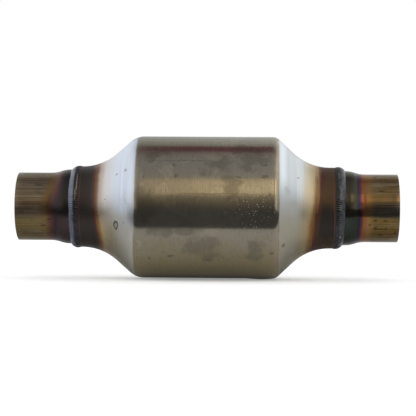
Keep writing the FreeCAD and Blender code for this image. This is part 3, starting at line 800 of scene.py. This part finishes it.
class CONVERTER_OT_welds(bpy.types.Operator):
    """Lays a rippled fillet weld between each neck and its pipe"""
    bl_idname = "converter.welds"
    bl_label = "Welds"

    def execute(self, context):
        sizes, colours = context.scene.converter_sizes, context.scene.converter_colours
        neck = sizes.neck_bore + sizes.neck_wall
        wide = sizes.pipe_radius + sizes.flare_rise
        chord = Vector((sizes.weld_width, 0, wide - neck))
        slant = math.atan2(chord.z, chord.x)
        half_chord = chord.length / 2
        radius = (half_chord ** 2 + sizes.weld_bulge ** 2) / (2 * sizes.weld_bulge)
        half = math.asin(half_chord / radius)
        for name, side, edge, lap, lean, look in (
                ("inlet", -1, -CAN_LOW.x, sizes.inlet_lap, 0.4,
                 (colours.weld_metal, -1, 98.3, 0.8, INLET_CREAM)),
                ("outlet", 1, CAN_HIGH.x, sizes.outlet_lap, 2.05,
                 ((0.105, 0.11, 0.122), 1, 97.4, 0.1, OUTLET_CREAM))):
            bm = bmesh.new()
            walk = Outline(bm, edge - lap, neck, slant + half)
            walk.bend(radius, -2 * half, BEAD_STEPS)
            walk.heading = math.radians(-120)
            walk.run(0.5 * MM)
            walk.heading = math.atan2(-chord.z, -chord.x)
            walk.run(chord.length - 0.6 * MM)
            walk.turned(side, sizes.spin_steps * 2)
            for vert in bm.verts:
                turn = math.atan2(vert.co.y, vert.co.z)
                out = Vector((0, vert.co.y, vert.co.z))
                crown = max(0.0, out.length - wide) / (neck - wide)
                wave = math.sin(turn * RIPPLES + 500 * vert.co.x) * sizes.ripple
                lump = noise.noise(Vector((math.cos(turn), math.sin(turn), side)) * 7)
                vert.co += out.normalized() * crown * (wave + lump * 0.3 * MM)
                for often, start, far in ((45, 5, 0.5), (150, 2, 0.35)):
                    vert.co.x += noise.noise(vert.co * often + AXIS * start) * far * MM
            leaned(bm, math.radians(lean), (side * edge, 0, 0))
            finish = weld_finish(f"{name.capitalize()} weld metal", *look)
            piece(bm, f"fillet_{name}_weld", finish, f"{name}_weld")
        return {"FINISHED"}


class CONVERTER_OT_core(bpy.types.Operator):
    """Extrudes the ceramic honeycomb, open from end to end, and finishes the mat round it"""
    bl_idname = "converter.core"
    bl_label = "Ceramic core"

    def execute(self, context):
        sizes, colours = context.scene.converter_sizes, context.scene.converter_colours
        radius = BRICK_HIGH.z
        cells = 2 * int(radius / sizes.cell_pitch)
        bm = bmesh.new()
        bmesh.ops.create_grid(bm, x_segments=cells, y_segments=cells,
                              size=cells / 2 * sizes.cell_pitch)
        room = radius - 1.2 * MM
        outside = [face for face in bm.faces
                   if max(vert.co.length for vert in face.verts) > room]
        bmesh.ops.delete(bm, geom=outside, context="FACES")
        cell_faces = bm.faces[:]
        rim = [edge for edge in bm.edges if edge.is_boundary]
        skin = bmesh.ops.extrude_edge_only(bm, edges=rim)
        for vert in corners(skin["geom"]):
            vert.co *= radius / vert.co.length
        bmesh.ops.inset_individual(bm, faces=cell_faces, thickness=sizes.cell_web / 2)
        bmesh.ops.delete(bm, geom=cell_faces, context="FACES")
        leaned(bm, RIGHT_ANGLE)
        bmesh.ops.translate(bm, verts=bm.verts, vec=(BRICK_LOW.x, 0, 0))
        drawn = bmesh.ops.extrude_face_region(bm, geom=bm.faces[:])
        bmesh.ops.translate(bm, verts=corners(drawn["geom"]),
                            vec=(BRICK_HIGH.x - BRICK_LOW.x, 0, 0))
        bmesh.ops.recalc_face_normals(bm, faces=bm.faces)
        piece(bm, "ceramic_core", ceramic_finish(colours), "honeycomb_brick")
        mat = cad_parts["support_mat"]
        mat.data.materials.clear()
        mat.data.materials.append(fibre_finish(colours))
        return {"FINISHED"}


# ---- The stage

NEAR_FADE = (400, 1300)      # how far aside a card fades to white, in millimetres
FAR_FADE = (2000, 3000)
DARK = (0.11, 0.112, 0.115)


def card(name, bm, glow_of, fade):
    """A stage card that only shows as a reflection, with a glow from its own coordinates."""
    material, wires, at = new_finish(name)
    colour = wires.layered(
        glow_of(wires, at), (wires.off(at["Along"], 0), *fade, 1.0, (1, 1, 1)))
    glow = wires.put("Emission", {"Color": colour})
    wires.put("OutputMaterial", {"Surface": glow.outputs[0]})
    thing = new_object(bm, name, material)
    thing.visible_camera = thing.visible_diffuse = thing.visible_shadow = False


def sheet(size, turn, place):
    """A flat mesh, turned by so many degrees and put in its place."""
    bm = bmesh.new()
    bmesh.ops.create_grid(bm, x_segments=1, y_segments=1, size=0.5)
    bmesh.ops.scale(bm, verts=bm.verts, vec=(*size, 1))
    leaned(bm, math.radians(turn))
    bmesh.ops.translate(bm, verts=bm.verts, vec=place)
    return bm


def curved_card(name, radius, left, right, stops):
    """A card bent round the axis, from left to right and from its first stop to its last."""
    low, high = stops[0][0], stops[-1][0]
    bm = bmesh.new()
    start = Matrix.Rotation(-math.radians(low), 3, "X") @ Vector((0, -radius, 0))
    ends = [bm.verts.new(start + AXIS * reach) for reach in (left, right)]
    edge = bm.edges.new(ends)
    bmesh.ops.spin(bm, geom=ends + [edge], cent=ORIGIN, axis=AXIS,
                   angle=-math.radians(high - low), steps=48)

    def graded(wires, at):
        angle = wires.sum("ARCTAN2", at["High"], wires.times(at["Deep"], -1))
        share = wires.span(angle, math.radians(low), math.radians(high), smooth=False)
        places = [((place - low) / (high - low), colour) for place, colour in stops]
        return wires.layered(wires.ramp(share, places), (at["Along"], 0, -130, 0.15, (0, 0, 0)))

    card(name, bm, graded, NEAR_FADE)


def flat_card(name, size, turn, place, stops, fade=FAR_FADE):
    """A flat card, graded along its height."""
    def graded(wires, at):
        return wires.ramp(wires.span(at["High"], -60, 700, smooth=False), stops)

    card(name, sheet(size, turn, place), graded, fade)


class CONVERTER_OT_stage(bpy.types.Operator):
    """Sets up the camera, the pale floor, the soft white surroundings and the graded cards"""
    bl_idname = "converter.stage"
    bl_label = "Stage"

    def execute(self, context):
        studio = context.scene.converter_studio
        self.camera(context, studio)
        self.surroundings(context, studio)
        self.floor()
        curved_card("dim_card", 1.7, -1.9, 1.9, (
            (-45, DARK), (-6, (0.105, 0.108, 0.112)), (3, (0.185, 0.165, 0.145)),
            (11, (0.31, 0.27, 0.21)), (18, (0.51, 0.44, 0.33)), (25, (0.62, 0.58, 0.52)),
            (60, (0.57, 0.56, 0.57)), (80, (0.51, 0.51, 0.53)), (92, (0.44, 0.42, 0.43)),
            (98, (0.36, 0.33, 0.34)), (101, (0.33, 0.28, 0.29)), (113, (0.35, 0.31, 0.31)),
            (117, (0.48, 0.46, 0.43)), (128, (0.62, 0.64, 0.62)), (138, (0.68, 0.7, 0.69))))
        curved_card("red_card", 1.65, -0.165, 0.13, (
            (100.5, (0.24, 0.1, 0.13)), (115, (0.22, 0.11, 0.135))))
        curved_card("warm_card", 1.5, -0.17, 0.17, (
            (20, (0.95, 0.82, 0.56)), (23, (1.16, 0.99, 0.69)), (42, (1.10, 0.93, 0.66)),
            (48, (0.6, 0.55, 0.48))))
        curved_card("edge_card", 1.48, 0.108, 0.195, (
            (21, (1.5, 1.25, 0.85)), (26, (2.3, 1.95, 1.3)), (42, (2.3, 1.95, 1.3)),
            (47, (1.4, 1.2, 0.9))))
        curved_card("warm_lamp", 1.45, 0.58, 1.15, (
            (20, (1.0, 0.8, 0.5)), (25, (2.6, 2.15, 1.5)), (45, (2.6, 2.15, 1.5)),
            (50, (1.0, 0.85, 0.65))))
        curved_card("back_card", 1.75, -0.5, 0.5, (
            (138, (0.66, 0.68, 0.66)), (178, (0.6, 0.61, 0.6))))
        flat_card("outlet_card", (0.8, 3.0), 90, (1.5, 0, 0.335), (
            (0.0, (0.44, 0.43, 0.41)), (0.3, (0.52, 0.51, 0.49)), (0.8, (0.9, 0.9, 0.9)),
            (1.0, (1, 1, 1))))
        flat_card("inlet_card", (0.5, 3.0), 90, (-1.5, 0, 0.185), (
            (0.0, (0.62, 0.63, 0.64)), (0.3, (0.85, 0.86, 0.87)), (0.6, (1, 1, 1)),
            (1.0, (1, 1, 1))))
        flat_card("dark_cloth", (5.0, 2.0), 0, (0, -1.106, CAN_LOW.z), (
            (0.0, DARK), (1.0, DARK)), NEAR_FADE)
        return {"FINISHED"}

    def camera(self, context, studio):
        lens = bpy.data.cameras.new("camera")
        lens.lens = studio.lens
        lens.sensor_width = 36
        lens.clip_start = 0.01
        viewer = bpy.data.objects.new("camera", lens)
        context.scene.collection.objects.link(viewer)
        back = Vector((math.sin(studio.azimuth), -math.cos(studio.azimuth), 0))
        viewer.location = Vector(studio.aim) + back * studio.distance
        facing = (-back).to_track_quat("-Z", "Y").to_matrix()
        lean = Matrix.Rotation(studio.roll, 3, "Z")
        viewer.rotation_euler = (facing @ lean).to_euler()
        context.scene.camera = viewer

    def surroundings(self, context, studio):
        world = bpy.data.worlds.new("surroundings")
        world.use_nodes = True
        context.scene.world = world
        wires = Wiring(world.node_tree)
        seen = wires.rays("Camera", "Glossy", "Transmission")
        strength = wires.span(seen, 0.0, 1.0, studio.light, 1.0, smooth=False)
        glow = wires.put("Background", {"Color": (1, 1, 1), "Strength": strength})
        wires.put("OutputWorld", {"Surface": glow.outputs[0]})
        context.scene.view_settings.view_transform = "Standard"

    def floor(self):
        bm = sheet((5, 5), 0, (0, 0, CAN_LOW.z - BULGE - FLOOR_GAP))
        material, wires, at = new_finish("Pale floor")
        # The camera's glow is weaker round the object, a painted shadow under the real one; a glow
        # seen only in reflections lights the floor in front of the object, a painted pool of light.
        away = wires.vectors("LENGTH", wires.vectors("DIVIDE", at["Point"], (70, 45, 1000)))
        close_glow = wires.times(wires.rays("Camera", "Transmission"),
                                 wires.span(away, 0.3, 1.4, 0.55, 1.0))
        front = wires.times(wires.span(at["Deep"], 5, -42, 0.0, 0.42),
                            wires.span(at["Deep"], -112, -60, 0.72, 1.0))
        front = wires.times(front, wires.span(wires.off(at["Along"], 0), 160, 110))
        far_glow = wires.plus(wires.span(away, 7.0, 12.0), front)
        far_glow = wires.times(wires.rays("Glossy"), far_glow)
        glow = wires.times(wires.plus(close_glow, far_glow), 0.5)
        shader = wires.put("BsdfPrincipled", {
            "Base Color": (0.6, 0.6, 0.6), "Roughness": 0.9, "Specular IOR Level": 0.0})
        glow_shader = wires.put("Emission", {"Color": (1, 1, 1), "Strength": glow})
        both = wires.put("AddShader", {0: shader.outputs[0], 1: glow_shader.outputs[0]})
        wires.put("OutputMaterial", {"Surface": both.outputs[0]})
        new_object(bm, "floor", material)


# ---- The add-on

class CONVERTER_PT_panel(bpy.types.Panel):
    """Lists the pieces in the order in which they are made"""
    bl_idname = "CONVERTER_PT_panel"
    bl_label = "Catalytic Converter"
    bl_space_type = "VIEW_3D"
    bl_region_type = "UI"
    bl_category = "Converter"

    def draw(self, context):
        for step in STEPS:
            self.layout.operator(step.bl_idname)
        for group in (context.scene.converter_sizes, context.scene.converter_colours,
                      context.scene.converter_studio):
            box = self.layout.box()
            for name in group.__annotations__:
                box.prop(group, name)


GROUPS = {"converter_sizes": ConverterSizes, "converter_colours": ConverterColours,
          "converter_studio": StudioSettings}
STEPS = (CONVERTER_OT_stage, CONVERTER_OT_can, CONVERTER_OT_pipes, CONVERTER_OT_welds,
         CONVERTER_OT_core)
CLASSES = (*GROUPS.values(), *STEPS, CONVERTER_PT_panel)


def register():
    for kind in CLASSES:
        bpy.utils.register_class(kind)
    for name, group in GROUPS.items():
        setattr(bpy.types.Scene, name, PointerProperty(type=group))


def unregister():
    for name in GROUPS:
        delattr(bpy.types.Scene, name)
    for kind in reversed(CLASSES):
        bpy.utils.unregister_class(kind)


def main():
    register()
    for step in ("stage", "can", "pipes", "welds", "core"):
        getattr(bpy.ops.converter, step)()


if __name__ == "__main__":
    main()
